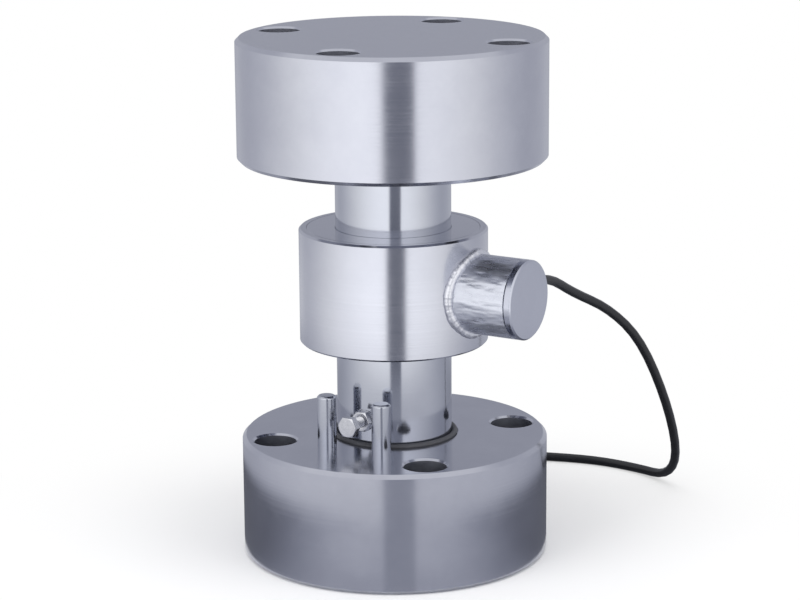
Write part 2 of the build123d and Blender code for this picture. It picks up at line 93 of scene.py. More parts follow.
def mottled(name, dark, light, grain, detail, gloss=None, depth=0.0, strength=1.0, **sockets):
    """A finish whose tone, gloss and relief vary together in patches of a size in millimetres."""
    material, tree, shader = start_material(name, **sockets)
    place = node(tree, "ShaderNodeTexCoord").outputs["Object"]
    pattern = {"Vector": place, "Scale": 1 / (grain * MM), "Detail": detail}
    patches = node(tree, "ShaderNodeTexNoise", pattern).outputs["Fac"]
    tones = {"Factor": patches, "A": colour(dark), "B": colour(light)}
    tone = node(tree, "ShaderNodeMix", tones, data_type="RGBA")
    tree.links.new(tone.outputs[2], shader.inputs["Base Color"])
    if gloss:
        smooth, rough = gloss
        wear = node(tree, "ShaderNodeMapRange", {"Value": patches, "To Min": smooth, "To Max": rough})
        tree.links.new(wear.outputs["Result"], shader.inputs["Roughness"])
    if depth:
        bumps = {"Height": patches, "Distance": depth * MM, "Strength": strength}
        tree.links.new(node(tree, "ShaderNodeBump", bumps).outputs["Normal"], shader.inputs["Normal"])
    return material


# Extruded polyurethane is a deep black with a satin skin that is a little uneven along its length.
jacket = mottled(
    "polyurethane_jacket", "#0e0f12", "#1a1b20", grain=3.0, detail=3.0, gloss=(0.28, 0.44),
    depth=0.06, strength=0.4, IOR=1.5,
)

cable_dia = 5.0
cable_exit = Vector((62, 40.42, 143))
cable_points = [
    cable_exit,
    Vector((62, 55, 142)),
    Vector((64.5, 77, 129.5)),
    Vector((74, 102, 116.5)),
    Vector((85, 120, 96)),
    Vector((94, 136, 57)),
    Vector((92, 155, 22)),
    Vector((78, 170, 4)),
    Vector((55, 180, 2.5)),
    Vector((26, 182, 2.5)),
    Vector((-8, 172, 2.5)),
    Vector((-27, 163, 2.5)),
    Vector((-47, 163, 2.5)),
]
# The coil is wound in and out by turns, each turn beside the last one and each layer on the one below.
# A layer's last turn keeps its radius and climbs to the next layer. The smooth line cuts the corners
# between its points, so they stand a little outside the turn.
coil_centre = Vector((-70, 118))
coil_radii = (45.0, 25.0)
coil_start, points_a_turn, layers, turns_a_layer, last_turns = 90.0, 16, 4, 5, 4.75
layer_climb, last_climb = (4.4, 0.6), (4.36, 0.36)
corner_cut = 0.75 + 0.25 * cos(2 * pi / points_a_turn)
# At the tie's angle, and less and less away from it, the turns lie on the strap and are pressed together
# by it. What runs over the top of them is free.
tie_angle, tie_reach, strap_lifts_to, pressed, free_above = 200.0, 20.0, 3.375, 0.95, 19.0
for layer in range(layers):
    is_last = layer == layers - 1
    start, end = coil_radii if layer % 2 == 0 else reversed(coil_radii)
    climb_from, climb_for = last_climb if is_last else layer_climb
    for step in range(turns_a_layer * points_a_turn):
        turns = step / points_a_turn
        if is_last and turns > last_turns:
            break
        radius = start + (end - start) * min(turns / (turns_a_layer - 1), 1)
        climb = max(0.0, min((turns - climb_from) / climb_for, 1.0))
        height = cable_dia * (layer + 0.5 + climb * climb * (3 - 2 * climb))
        turned = coil_start + 360 * turns
        from_tie = ((turned - tie_angle + 180) % 360 - 180) / tie_reach
        squeeze = exp(-(from_tie**2)) if height < free_above else 0.0
        height += squeeze * (strap_lifts_to + pressed * (height - cable_dia / 2) - height)
        out = radius / corner_cut
        angle = radians(turned)
        along, across = coil_centre.x + out * cos(angle), coil_centre.y + out * sin(angle)
        cable_points.append(Vector((along, across, height)))
cable_points += [
    Vector((-24, 132, 22.6)),
    Vector((-28.5, 144, 22.9)),
    Vector((-37.5, 151, 23.2)),
    Vector((-44, 151, 23.2)),
]
cable_curve = bpy.data.curves.new("instrument_cable", "CURVE")
cable_curve.dimensions = "3D"
cable_curve.bevel_depth = cable_dia / 2 * MM
cable_curve.bevel_resolution = 5
cable_curve.resolution_u = 4
cable_curve.use_fill_caps = True
spline = cable_curve.splines.new("NURBS")
spline.points.add(len(cable_points) - 1)
for point, where in zip(spline.points, cable_points):
    point.co = (*(where * MM), 1.0)
spline.order_u = 3
spline.use_endpoint_u = True
cable = bpy.data.objects.new("instrument_cable", cable_curve)
scene.collection.objects.link(cable)
cable_curve.materials.append(jacket)
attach(cable, "root")
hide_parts("cable", "cable_coil")
cable_root = nodes["cable_root"]
cable_root.material_slots[0].material = jacket


# Floor and light: a pale table that is white to the camera away from the object and keeps its soft
# shadow close to it. Three soft lamps light the object, and the metal reflects a tent of white panels.
def seen_directly(tree):
    """1 for a ray from the camera, a mirror or glass, and 0 for one that only gathers light."""
    rays = node(tree, "ShaderNodeLightPath")
    seen = rays.outputs["Is Camera Ray"]
    for kind in ("Is Glossy Ray", "Is Transmission Ray"):
        either = {0: seen, 1: rays.outputs[kind]}
        seen = node(tree, "ShaderNodeMath", either, operation="MAXIMUM").outputs[0]
    return seen


floor_across, shadow_reach = 60.0, (0.11, 0.26)
floor_paint, tree, shader = start_material("pale_floor", Roughness=1.0)
shader.inputs["Base Color"].default_value = colour("#f7f7f8")
shader.inputs["Specular IOR Level"].default_value = 0.0
place = node(tree, "ShaderNodeTexCoord").outputs["Object"]
away = node(tree, "ShaderNodeVectorMath", {0: place}, operation="LENGTH")
open_floor = node(
    tree, "ShaderNodeMapRange",
    {"Value": away.outputs["Value"], "From Min": shadow_reach[0], "From Max": shadow_reach[1]},
    interpolation_type="SMOOTHSTEP",
)
white = node(tree, "ShaderNodeEmission", {"Strength": 1.0})
painted = node(
    tree, "ShaderNodeMixShader",
    {0: open_floor.outputs["Result"], 1: shader.outputs["BSDF"], 2: white.outputs["Emission"]},
)
floor_shader = node(
    tree, "ShaderNodeMixShader",
    {0: seen_directly(tree), 1: shader.outputs["BSDF"], 2: painted.outputs["Shader"]},
)
tree.links.new(floor_shader.outputs["Shader"], tree.nodes["Material Output"].inputs["Surface"])
bpy.ops.object.select_all(action="DESELECT")
bpy.ops.mesh.primitive_plane_add(size=floor_across)
floor = bpy.context.object
floor.name = "floor"
floor.data.materials.append(floor_paint)

world = bpy.data.worlds.new("studio")
world.use_nodes = True
tree = world.node_tree
gathered_light, seen_light = 0.62, 1.0
world_light = node(
    tree, "ShaderNodeMapRange",
    {"Value": seen_directly(tree), "To Min": gathered_light, "To Max": seen_light},
)
tree.links.new(world_light.outputs["Result"], tree.nodes["Background"].inputs["Strength"])
tree.nodes["Background"].inputs["Color"].default_value = (1.0, 1.0, 1.0, 1.0)
scene.world = world

lamps_aim_at = Vector((0, 0, 0.12))
for lamp_name, turn_from_camera, distance, lamp_height, size, watts in (
    ("lamp_above", 0.0, 0.2, 1.5, 1.4, 9.0),
    ("lamp_left", -50.0, 1.1, 0.9, 0.9, 5.0),
    ("lamp_right", 55.0, 1.1, 0.8, 0.9, 3.5),
):
    lamp_data = bpy.data.lights.new(lamp_name, "AREA")
    lamp_data.size = size
    lamp_data.energy = watts
    lamp = bpy.data.objects.new(lamp_name, lamp_data)
    scene.collection.objects.link(lamp)
    heading = photo_azimuth + radians(turn_from_camera)
    lamp.location = (distance * sin(heading), -distance * cos(heading), lamp_height)
    lamp.rotation_euler = (lamps_aim_at - lamp.location).to_track_quat("-Z", "Y").to_euler()
    lamp.visible_camera = False
    lamp.visible_glossy = False


def select_only(piece):
    """Make one piece the active and only selected object."""
    bpy.ops.object.mode_set(mode="OBJECT")
    bpy.ops.object.select_all(action="DESELECT")
    piece.select_set(True)
    bpy.context.view_layer.objects.active = piece


def turn(name, outline, steps=192, centre=(0, 0, 0), axis=(0, 0, 1), side=(1, 0, 0)):
    """Draw half a section, one edge at a time, from millimetres along and out from the axis, and spin it."""
    centre, axis, side = Vector(centre) * MM, Vector(axis), Vector(side)
    corners = [centre + (side * out + axis * along) * MM for along, out in outline]
    if bpy.context.object:
        bpy.ops.object.mode_set(mode="OBJECT")
    bpy.ops.object.select_all(action="DESELECT")
    bpy.ops.mesh.primitive_plane_add(size=0.01)
    piece = bpy.context.object
    piece.name = piece.data.name = name
    bpy.ops.object.mode_set(mode="EDIT")
    bpy.ops.mesh.select_all(action="SELECT")
    bpy.ops.mesh.merge(type="CENTER")
    bpy.ops.transform.translate(value=corners[0])
    for corner, following in zip(corners, corners[1:]):
        bpy.ops.mesh.extrude_vertices_move(TRANSFORM_OT_translate={"value": following - corner})
    bpy.ops.mesh.select_all(action="SELECT")
    bpy.ops.mesh.spin(steps=steps, angle=2 * pi, center=centre, axis=axis)
    bpy.ops.mesh.select_all(action="SELECT")
    bpy.ops.mesh.remove_doubles(threshold=0.001 * MM)
    bpy.ops.mesh.normals_make_consistent(inside=False)
    bpy.ops.object.mode_set(mode="OBJECT")
    return piece


# The tent's panels stand left and right of the camera and behind the object, with a dark gap where
# the camera looks in. It is seen only in reflections.
# Its ring on the floor, from 84 mm out, is dimmer close to the object: a painted shadow of the object on the
# floor, seen only in the metal.
tent = turn(
    "light_tent",
    [
        (0.3, 84),
        (0.4, 340),
        (12, 520),
        (60, 760),
        (220, 1050),
        (600, 1300),
        (1100, 1300),
        (1500, 1000),
        (1700, 500),
        (1750, 0),
    ],
    steps=96,
)
tent_light, tree, _ = start_material("light_tent")
place = node(tree, "ShaderNodeTexCoord").outputs["Object"]
facing = node(tree, "ShaderNodeMapping", {"Vector": place, "Rotation": (0, 0, -photo_azimuth)})
parts = node(tree, "ShaderNodeSeparateXYZ", {0: facing.outputs["Vector"]})
right, back, up = parts.outputs["X"], parts.outputs["Y"], parts.outputs["Z"]
ahead = node(tree, "ShaderNodeMath", {0: back, 1: -1.0}, operation="MULTIPLY").outputs[0]
bearing = node(tree, "ShaderNodeMath", {0: right, 1: ahead}, operation="ARCTAN2").outputs[0]
aside = node(tree, "ShaderNodeMath", {0: bearing}, operation="ABSOLUTE").outputs[0]
on_floor = node(tree, "ShaderNodeCombineXYZ", {"X": right, "Y": back}).outputs["Vector"]
away = node(tree, "ShaderNodeVectorMath", {0: on_floor}, operation="LENGTH").outputs["Value"]

# Seen in a round plate, a gap of one width on the tent would look wider where the plate meets the
# floor, so the gap narrows towards the object as the mirror's own curve asks: by 1.9 / (2 - 0.08 / away),
# where 0.08 is the plate's radius. Far out it turns a little to the right.
narrowing = away
for amount, operation in ((0.08, "DIVIDE"), (2.0, "SUBTRACT"), (1.9, "DIVIDE")):
    narrowing = node(tree, "ShaderNodeMath", {0: amount, 1: narrowing}, operation=operation).outputs[0]
turn_aside = node(
    tree, "ShaderNodeMapRange",
    {"Value": away, "From Min": 0.62, "From Max": 0.74, "To Min": 0.0, "To Max": radians(1.3)},
    interpolation_type="SMOOTHSTEP",
)
in_gap = node(tree, "ShaderNodeMath", {0: bearing, 1: narrowing}, operation="MULTIPLY")
in_gap = node(
    tree, "ShaderNodeMath", {0: in_gap.outputs[0], 1: turn_aside.outputs["Result"]}, operation="SUBTRACT"
).outputs[0]

# Each change of light along the tent is a smooth step: of one measure, between two places and between
# two levels.
level = {}
for name, measure, start, end, before, after in (
    ("left_of_gap", in_gap, radians(-10.5), radians(-5.5), 1.0, 0.0),
    ("right_of_gap", in_gap, radians(12.0), radians(15.5), 0.0, 1.0),
    ("on_the_right", bearing, -0.2, 0.2, 0.0, 1.0),
    ("left_panel", aside, radians(16), radians(137), 1.53, 0.67),
    ("right_panel", aside, radians(12), radians(115), 1.43, 0.67),
    ("panel_feet", away, 0.44, 0.5, 0.88, 1.15),
    ("panel_tops", away, 0.54, 0.68, 1.0, 0.87),
    ("panels_behind", aside, radians(145), radians(172), 1.0, 0.74),
    ("off_the_front", aside, radians(15), radians(85), 0.0, 1.0),
    ("painted_shadow_at_rim", away, 0.085, 0.15, 0.84, 1.0),
    ("behind_object", aside, radians(150), radians(176), 1.0, 1.9),
    ("clear_of_object", away, 0.18, 0.215, 0.0, 1.0),
    ("floor_aside", aside, radians(60), radians(160), 1.0, 0.52),
    ("floor_behind", aside, radians(155), radians(177), 1.0, 1.7),
    ("up_the_panels", away, 0.33, 0.43, 0.0, 1.0),
    ("gap_top", away, 0.62, 0.74, 0.275, 0.305),
    ("above_gap", up, 0.25, 0.45, 0.0, 1.0),
    ("into_roof", up, 1.25, 1.5, 0.0, 1.0),
):
    limits = {"Value": measure, "From Min": start, "From Max": end, "To Min": before, "To Max": after}
    smooth_step = node(tree, "ShaderNodeMapRange", limits, interpolation_type="SMOOTHSTEP")
    level[name] = smooth_step.outputs["Result"]
gap_sides = {0: level["left_of_gap"], 1: level["right_of_gap"]}
level["past_gap"] = node(tree, "ShaderNodeMath", gap_sides).outputs[0]

# The light is put together from those levels. Each line goes from one level to another by a share, and
# the levels named after them dim or lift the result.
# Within about 0.2 m of the object the floor ring is dimmed, most to the sides and at the plate's rim: this
# is painted shadow, not cast by the lamps.
shadow_front_level, shadow_sides_level, under_left, under_right = 0.68, 0.26, 0.86, 0.77
gap_floor, over_gap, roof = 0.47, 0.6, 0.92
for name, share, one, other, factors in (
    ("panels", "on_the_right", "left_panel", "right_panel", ("panel_feet", "panel_tops", "panels_behind")),
    ("painted_shadow_by_object", "off_the_front", shadow_front_level, shadow_sides_level, ("painted_shadow_at_rim", "behind_object")),
    ("under_panels", "on_the_right", under_left, under_right, ()),
    ("near_floor", "clear_of_object", "painted_shadow_by_object", "under_panels", ("floor_aside", "floor_behind")),
    ("gap", "above_gap", "gap_top", over_gap, ()),
    ("low", "past_gap", gap_floor, "near_floor", ()),
    ("high", "past_gap", "gap", "panels", ()),
    ("walls", "up_the_panels", "low", "high", ()),
    ("lit", "into_roof", "walls", roof, ()),
):
    mix = {"Factor": level[share], "A": level.get(one, one), "B": level.get(other, other)}
    light = node(tree, "ShaderNodeMix", mix).outputs[0]
    for factor in factors:
        light = node(tree, "ShaderNodeMath", {0: light, 1: level[factor]}, operation="MULTIPLY").outputs[0]
    level[name] = light
bright = node(
    tree, "ShaderNodeMapRange", {"Value": level["lit"], "From Min": 0.2, "From Max": 1.2},
    interpolation_type="SMOOTHSTEP",
)
tint = node(
    tree, "ShaderNodeMix",
    {"Factor": bright.outputs["Result"], "A": colour("#e9edff"), "B": colour("#ffffff")},
    data_type="RGBA",
)
glow = node(tree, "ShaderNodeEmission", {"Color": tint.outputs[2], "Strength": level["lit"]})
tree.links.new(glow.outputs["Emission"], tree.nodes["Material Output"].inputs["Surface"])
tent_light.cycles.emission_sampling = "NONE"
tent.data.materials.append(tent_light)
tent.visible_camera = False
tent.visible_diffuse = False
tent.visible_transmission = False
tent.visible_shadow = False


# Base plate: a disc turned from a round bar of stainless steel, with a pocket for the column's foot,
# four drilled bolt holes with their edges broken, and two reamed holes for the pins.
# Handling clouds its shine in wide patches.
handled_patch = 22.0


def turned_steel(name, light, dark, rough, smooth, ring, depth, centre=(0, 0, 0), rotation=(0, 0, 0)):
    """Stainless steel with the fine rings that a lathe leaves round an axis and across its end faces."""
    material, tree, shader = start_material(name, Metallic=1.0)
    place = node(tree, "ShaderNodeTexCoord").outputs["Object"]
    moved = node(tree, "ShaderNodeMapping", {"Vector": place, "Location": [-c * MM for c in centre]})
    turned = node(tree, "ShaderNodeMapping", {"Vector": moved.outputs["Vector"], "Rotation": rotation})
    parts = node(tree, "ShaderNodeSeparateXYZ", {0: turned.outputs["Vector"]})
    across = node(tree, "ShaderNodeCombineXYZ", {"X": parts.outputs["X"], "Y": parts.outputs["Y"]})
    out = node(tree, "ShaderNodeVectorMath", {0: across.outputs["Vector"]}, operation="LENGTH")
    lathe = node(tree, "ShaderNodeCombineXYZ", {"X": out.outputs["Value"], "Y": parts.outputs["Z"]})
    rings = node(
        tree, "ShaderNodeTexNoise",
        {"Vector": lathe.outputs["Vector"], "Scale": 1 / (ring * MM), "Detail": 2.0},
        noise_dimensions="2D",
    )
    patches = node(
        tree, "ShaderNodeTexNoise",
        {"Vector": place, "Scale": 1 / (handled_patch * MM), "Detail": 4.0, "Roughness": 0.6},
    )
    tone = node(
        tree, "ShaderNodeMix", {"Factor": patches.outputs["Fac"], "A": colour(dark), "B": colour(light)},
        data_type="RGBA",
    )
    tree.links.new(tone.outputs[2], shader.inputs["Base Color"])
    wear = node(
        tree, "ShaderNodeMix", {"Factor": 0.5, "A": rings.outputs["Fac"], "B": patches.outputs["Fac"]}
    )
    gloss = node(
        tree, "ShaderNodeMapRange",
        {"Value": wear.outputs[0], "From Min": 0.3, "From Max": 0.7, "To Min": smooth, "To Max": rough},
    )
    tree.links.new(gloss.outputs["Result"], shader.inputs["Roughness"])
    relief = node(tree, "ShaderNodeBump", {"Height": rings.outputs["Fac"], "Distance": depth * MM})
    tree.links.new(relief.outputs["Normal"], shader.inputs["Normal"])
    return material


def cut(piece, cutter, operation="DIFFERENCE"):
    """Cut one piece with another, which is then thrown away."""
    select_only(piece)
    saw = piece.modifiers.new("saw", "BOOLEAN")
    saw.object, saw.operation, saw.solver = cutter, operation, "EXACT"
    bpy.ops.object.modifier_apply(modifier=saw.name)
    bpy.data.objects.remove(cutter)


def finish_edges(piece, width):
    """Break the sharp edges by a hair and shade the rest as the smooth surface that it is."""
    select_only(piece)
    broken = piece.modifiers.new("broken_edges", "BEVEL")
    broken.width, broken.segments, broken.limit_method = width * MM, 2, "ANGLE"
    broken.angle_limit = radians(28)
    broken.use_clamp_overlap = True
    bpy.ops.object.modifier_apply(modifier=broken.name)
    bpy.ops.object.shade_smooth_by_angle(angle=radians(40))
    evened = piece.modifiers.new("even_shading", "WEIGHTED_NORMAL")
    evened.keep_sharp = True
    bpy.ops.object.modifier_apply(modifier=evened.name)


def take_place(piece, material, slot, *replaced):
    """Give a finished piece its material and its body, and hide the nodes that it stands for. Its slot is
    not used.
    """
    piece.data.materials.append(material)
    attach(piece, "root")
    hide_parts(*replaced)


# Face-turned stainless steel is a cool grey whose rings blur what it reflects. The real feed marks of
# 0.1 mm are drawn 0.9 mm apart, because finer ones would not show.
plate_steel = turned_steel("face_turned_steel", "#c3c5ce", "#b3b5c0", 0.22, 0.13, 0.9, 0.004)
plate_radius, plate_thick, plate_edge = 80.0, 63.0, 2.0
overall_height = 272.0
bolt_radius, bolt_edge, bolt_circle = 11.0, 1.0, 64.0
pocket_radius, pocket_floor = 32.0, 31.0
seat_radius, seat_floor = 33.5, 61.8
plate_outline = [
    (0, 0),
    (0, plate_radius - plate_edge),
    (plate_edge, plate_radius),
    (plate_thick - plate_edge, plate_radius),
    (plate_thick, plate_radius - plate_edge),
    (plate_thick, seat_radius),
    (seat_floor, seat_radius),
    (seat_floor, pocket_radius),
    (pocket_floor, pocket_radius),
    (pocket_floor, 0),
]


def drill_bolt_holes(plate, foot, first_turn):
    """Drill the four bolt holes through a plate and countersink both ends of each."""
    for quarter in range(4):
        angle = radians(first_turn + 90 * quarter)
        drill = turn(
            "drill",
            [
                (foot - 1, 0),
                (foot - 1, bolt_radius + bolt_edge + 1),
                (foot + bolt_edge, bolt_radius),
                (foot + plate_thick - bolt_edge, bolt_radius),
                (foot + plate_thick + 1, bolt_radius + bolt_edge + 1),
                (foot + plate_thick + 1, 0),
            ],
            steps=96,
            centre=(bolt_circle * cos(angle), bolt_circle * sin(angle), 0),
        )
        cut(plate, drill)


def roughen_and_shade_bores(plate, first_turn):
    """Give the walls of the bolt holes the drill's finish and a painted shade: what is upright and near a
    hole's axis.
    """
    bore_play, wall_lean = 0.2, 0.3
    plate.data.materials.append(drilled_and_shaded_steel)
    for quarter in range(4):
        angle = radians(first_turn + 90 * quarter)
        bore_axis = Vector((cos(angle), sin(angle))) * bolt_circle * MM
        for face in plate.data.polygons:
            near_axis = (face.center.xy - bore_axis).length < (bolt_radius + bore_play) * MM
            if near_axis and abs(face.normal.z) < wall_lean:
                face.material_index = 1


# A drilled wall is dull and scored round by the drill's lips. Its tone, darker than the plate's steel, is
# painted shade in the holes.
drilled_and_shaded_steel = turned_steel("drilled_and_shaded_steel", "#9b9da8", "#6f727d", 0.6, 0.45, 1.2, 0.05)
pin_places = [(-16.44, -40.28), (16.44, -40.28)]
pin_radius, pin_foot, pin_top, pin_edge = 5.0, 43.0, 90.0, 1.0
base = turn("base_disc", plate_outline, steps=240)
drill_bolt_holes(base, 0, 45)
for pin_x, pin_y in pin_places:
    reamer = turn(
        "reamer",
        [(pin_foot, 0), (pin_foot, pin_radius), (plate_thick + 1, pin_radius), (plate_thick + 1, 0)],
        steps=64,
        centre=(pin_x, pin_y, 0),
    )
    cut(base, reamer)
finish_edges(base, 0.2)
take_place(base, plate_steel, "plate_steel", "base_plate")
roughen_and_shade_bores(base, 45)

# Top plate: the same disc of stainless steel, turned and drilled like the base but without pin holes.
# It lies the other way up and is free to be turned on the column's head.
top = turn("top_disc", [(overall_height - along, out) for along, out in plate_outline], steps=240)
drill_bolt_holes(top, overall_height - plate_thick, 7)
finish_edges(top, 0.2)
take_place(top, plate_steel, "plate_steel", "top_plate")
roughen_and_shade_bores(top, 7)

# Pressure discs: hardened and ground tool steel at the bottom of both pockets, hidden by the column.
# Ground steel is darker and bluer, with an even fine sheen.
disc_steel = turned_steel("ground_tool_steel", "#a9adb8", "#989da9", 0.24, 0.16, 0.6, 0.002)
for disc_name in ("lower_pressure_disc", "upper_pressure_disc"):
    nodes[disc_name].material_slots[0].material = disc_steel

# Dust seals: moulded nitrile rings stretched round the column in the pockets' mouths. They lie open to
# dust and wiping, which leaves the black a dark grey, in patches of about 2 mm.
greyed_nitrile = mottled(
    "greyed_nitrile", "#3c3d42", "#595a60", grain=2.0, detail=5.0, gloss=(0.42, 0.66), depth=0.03, IOR=1.52
)
seal_radius, seal_ring_radius = 1.5, 31.6
for seal_name, seal_height in (("lower_seal_ring", 63.3), ("upper_seal_ring", 208.7)):
    section = [radians(15 * step) for step in range(25)]
    seal = turn(
        seal_name.replace("seal_ring", "dust_seal"),
        [(seal_height + seal_radius * sin(a), seal_ring_radius + seal_radius * cos(a)) for a in section],
    )
    select_only(seal)
    bpy.ops.object.shade_smooth()
    take_place(seal, greyed_nitrile, "seal_rubber", seal_name)

# Load column: turned and polished from one bar of precipitation-hardening stainless steel, rounded at
# both ends, waisted under the sleeve with four flats for the gauges. It is close to a mirror.
column_steel = turned_steel("polished_column_steel", "#bec1ca", "#b2b5bf", 0.15, 0.09, 0.7, 0.0015)
column_radius, column_edge, dome_radius = 30.0, 1.0, 150.0
column_foot, column_head = 41.0, 231.0
waist_radius, waist_foot, waist_top, waist_root = 22.0, 123.0, 163.0, 3.0


def fall(radius):
    """How far the rounded end has fallen back at a radius."""
    return dome_radius - sqrt(dome_radius**2 - radius**2)


rounded = [step * (column_radius - column_edge) / 6 for step in range(7)]
foot_rim = column_foot + fall(rounded[-1]) + column_edge
head_rim = column_head - fall(rounded[-1]) - column_edge
root_turns = [radians(15 * step) for step in range(7)]
lower_root = [
    (waist_foot + waist_root * (1 - cos(a)), waist_radius + waist_root * (1 - sin(a))) for a in root_turns
]
upper_root = [(waist_foot + waist_top - along, out) for along, out in reversed(lower_root)]
column = turn(
    "polished_column",
    [
        *[(column_foot + fall(out), out) for out in rounded],
        (foot_rim, column_radius),
        (waist_foot, column_radius),
        *lower_root,
        *upper_root,
        (waist_top, column_radius),
        (head_rim, column_radius),
        *[(column_head - fall(out), out) for out in reversed(rounded)],
    ],
)
flat_from_axis, mill_deep, mill_wide = 20.0, 20.0, 60.0
mill_tall = waist_top - waist_foot - 2 * waist_root
for quarter in range(4):
    bpy.ops.object.select_all(action="DESELECT")
    angle = quarter * pi / 2
    bpy.ops.mesh.primitive_cube_add(size=1.0)
    mill = bpy.context.object
    bpy.ops.transform.resize(value=(mill_deep * MM, mill_wide * MM, mill_tall * MM))
    mill.rotation_euler.z = angle
    reach = (flat_from_axis + mill_deep / 2) * MM
    mill.location = (reach * cos(angle), reach * sin(angle), (waist_foot + waist_top) / 2 * MM)
    cut(column, mill)
screw_height, spot_seat, spot_radius, tapped_end = 76.4, 29.39, 6.0, 15.39
screw_radius, past_column = 3.0, 40.0
screw_origin, screw_axis = (0, 0, screw_height), (0, -1, 0)
for tool_name, tool_end, tool_radius in (
    ("spot_facer", spot_seat, spot_radius),
    ("tap", tapped_end, screw_radius),
):
    tool = [(tool_end, 0), (tool_end, tool_radius), (past_column, tool_radius), (past_column, 0)]
    cut(column, turn(tool_name, tool, 64, screw_origin, screw_axis))
finish_edges(column, 0.15)
take_place(column, column_steel, "column_steel", "load_column")

# Anti-rotation pins: hardened steel dowels pressed into the base, one each side of the screw. Grinding
# leaves them an even mirror that is a little dull.
pin_steel = turned_steel("ground_dowel_steel", "#bbbec7", "#afb2bc", 0.2, 0.13, 0.5, 0.001)
for number, (pin_x, pin_y) in enumerate(pin_places, start=1):
    pin = turn(
        f"ground_dowel_{number}",
        [
            (pin_foot, 0),
            (pin_foot, pin_radius - pin_edge),
            (pin_foot + pin_edge, pin_radius),
            (pin_top - pin_edge, pin_radius),
            (pin_top, pin_radius - pin_edge),
            (pin_top, 0),
        ],
        steps=64,
        centre=(pin_x, pin_y, 0),
    )
    finish_edges(pin, 0.3)
    take_place(pin, pin_steel, "pin_steel", f"anti_rotation_pin_{number}")

# Anti-rotation screw and its lock nut: bright zinc-plated steel fasteners, cold-headed with a rolled
# thread, that point out of the column's foot between the pins. The plating is a pale, spotted mirror.
plated_steel = mottled(
    "bright_zinc_plating", "#b9bac0", "#d6d7dc", grain=1.5, detail=4.0, gloss=(0.16, 0.34), depth=0.01,
    Metallic=1.0,
)


def hexagon(name, across, foot, end, origin, axis, both_ends=False):
    """A hexagon bar cut to length, with the corners of its end turned off as on a bolt head."""
    wide, face, slope, overshoot = across * 0.7, across * 0.475, across * 0.13, 1.0
    # At each end either the bar or the envelope stands out past the other, because with both ends in one
    # plane the cut fails now and then and leaves no bar.
    if both_ends:
        bar_foot = foot - overshoot
        foot_outline = [(foot, 0), (foot, face), (foot + slope, wide)]
    else:
        bar_foot = foot
        foot_outline = [(foot - overshoot, 0), (foot - overshoot, wide)]
    bar_end = end + overshoot
    end_outline = [(end - slope, wide), (end, face), (end, 0)]
    bpy.ops.object.select_all(action="DESELECT")
    middle = Vector(origin) + Vector(axis) * (bar_foot + bar_end) / 2
    bpy.ops.mesh.primitive_cylinder_add(
        vertices=6,
        radius=across / sqrt(3) * MM,
        depth=(bar_end - bar_foot) * MM,
        location=middle * MM,
        rotation=(pi / 2, pi / 6, 0),
    )
    bar = bpy.context.object
    bar.name = bar.data.name = name
    bpy.ops.object.transform_apply(location=True, rotation=True, scale=True)
    envelope = turn("envelope", [*foot_outline, *end_outline], 96, origin, axis)
    cut(bar, envelope, "INTERSECT")
    return bar


def join(*parts):
    """Make several parts one piece, under the first one's name."""
    select_only(parts[0])
    for part in parts:
        part.select_set(True)
    bpy.ops.object.join()
    return bpy.context.object


screw_head_foot, screw_head_end, screw_across = 43.19, 47.19, 10.0
thread_crest, thread_root, thread_pitch, screw_tip, thread_start = 2.94, 2.4, 1.0, 17.39, 18.19
head = hexagon("screw_head", screw_across, screw_head_foot, screw_head_end, screw_origin, screw_axis)
# The rolled thread is drawn as rings of its real pitch, which look the same at this size.
thread_form = ((0, thread_crest), (0.15, thread_crest), (0.5, thread_root), (0.65, thread_root))
thread = [
    (thread_start + thread_pitch * (number + share), out)
    for number in range(int((screw_head_foot - thread_start) / thread_pitch))
    for share, out in thread_form
]
shank_foot = [(screw_tip, 0), (screw_tip, thread_root)]
shank_neck = [(screw_head_foot, thread_root), (screw_head_foot, 0)]
shank = turn("screw_shank", [*shank_foot, *thread, *shank_neck], 48, screw_origin, screw_axis)
finish_edges(head, 0.15)
screw = join(head, shank)
take_place(screw, plated_steel, "plated_steel", "anti_rotation_screw")
nut_foot, nut_end = spot_seat, 34.39
nut = hexagon("lock_nut", screw_across, nut_foot, nut_end, screw_origin, screw_axis, both_ends=True)
bore = [(nut_foot - 1, 0), (nut_foot - 1, screw_radius), (nut_end + 1, screw_radius), (nut_end + 1, 0)]
cut(nut, turn("nut_bore", bore, 48, screw_origin, screw_axis))
finish_edges(nut, 0.15)
take_place(nut, plated_steel, "plated_steel", "anti_rotation_nut")

# Strain gauges, bridge board and terminal board, all hidden: foil gauges under a yellow-brown
# polyimide film, and green solder-masked glass laminate that carries the wiring.
gauge_film, tree, shader = start_material("polyimide_foil_gauge", IOR=1.7, Roughness=0.3)
place = node(tree, "ShaderNodeTexCoord").outputs["Object"]
grid = node(
    tree, "ShaderNodeTexWave", {"Vector": place, "Scale": 1 / (6 * MM), "Distortion": 0.0},
    bands_direction="DIAGONAL",
)
tone = node(
    tree, "ShaderNodeMix", {"Factor": grid.outputs["Fac"], "A": colour("#b5822e"), "B": colour("#8a8f8c")},
    data_type="RGBA",
)
tree.links.new(tone.outputs[2], shader.inputs["Base Color"])
for number in range(1, 5):
    nodes[f"strain_gauge_{number}"].material_slots[0].material = gauge_film
laminate = mottled(
    "green_glass_laminate", "#1d5a35", "#2b7347", grain=1.0, detail=2.0, gloss=(0.3, 0.45), IOR=1.55
)
for board_name in ("bridge_board", "terminal_board"):
    nodes[board_name].material_slots[0].material = laminate
nodes["inner_lead"].material_slots[0].material = jacket

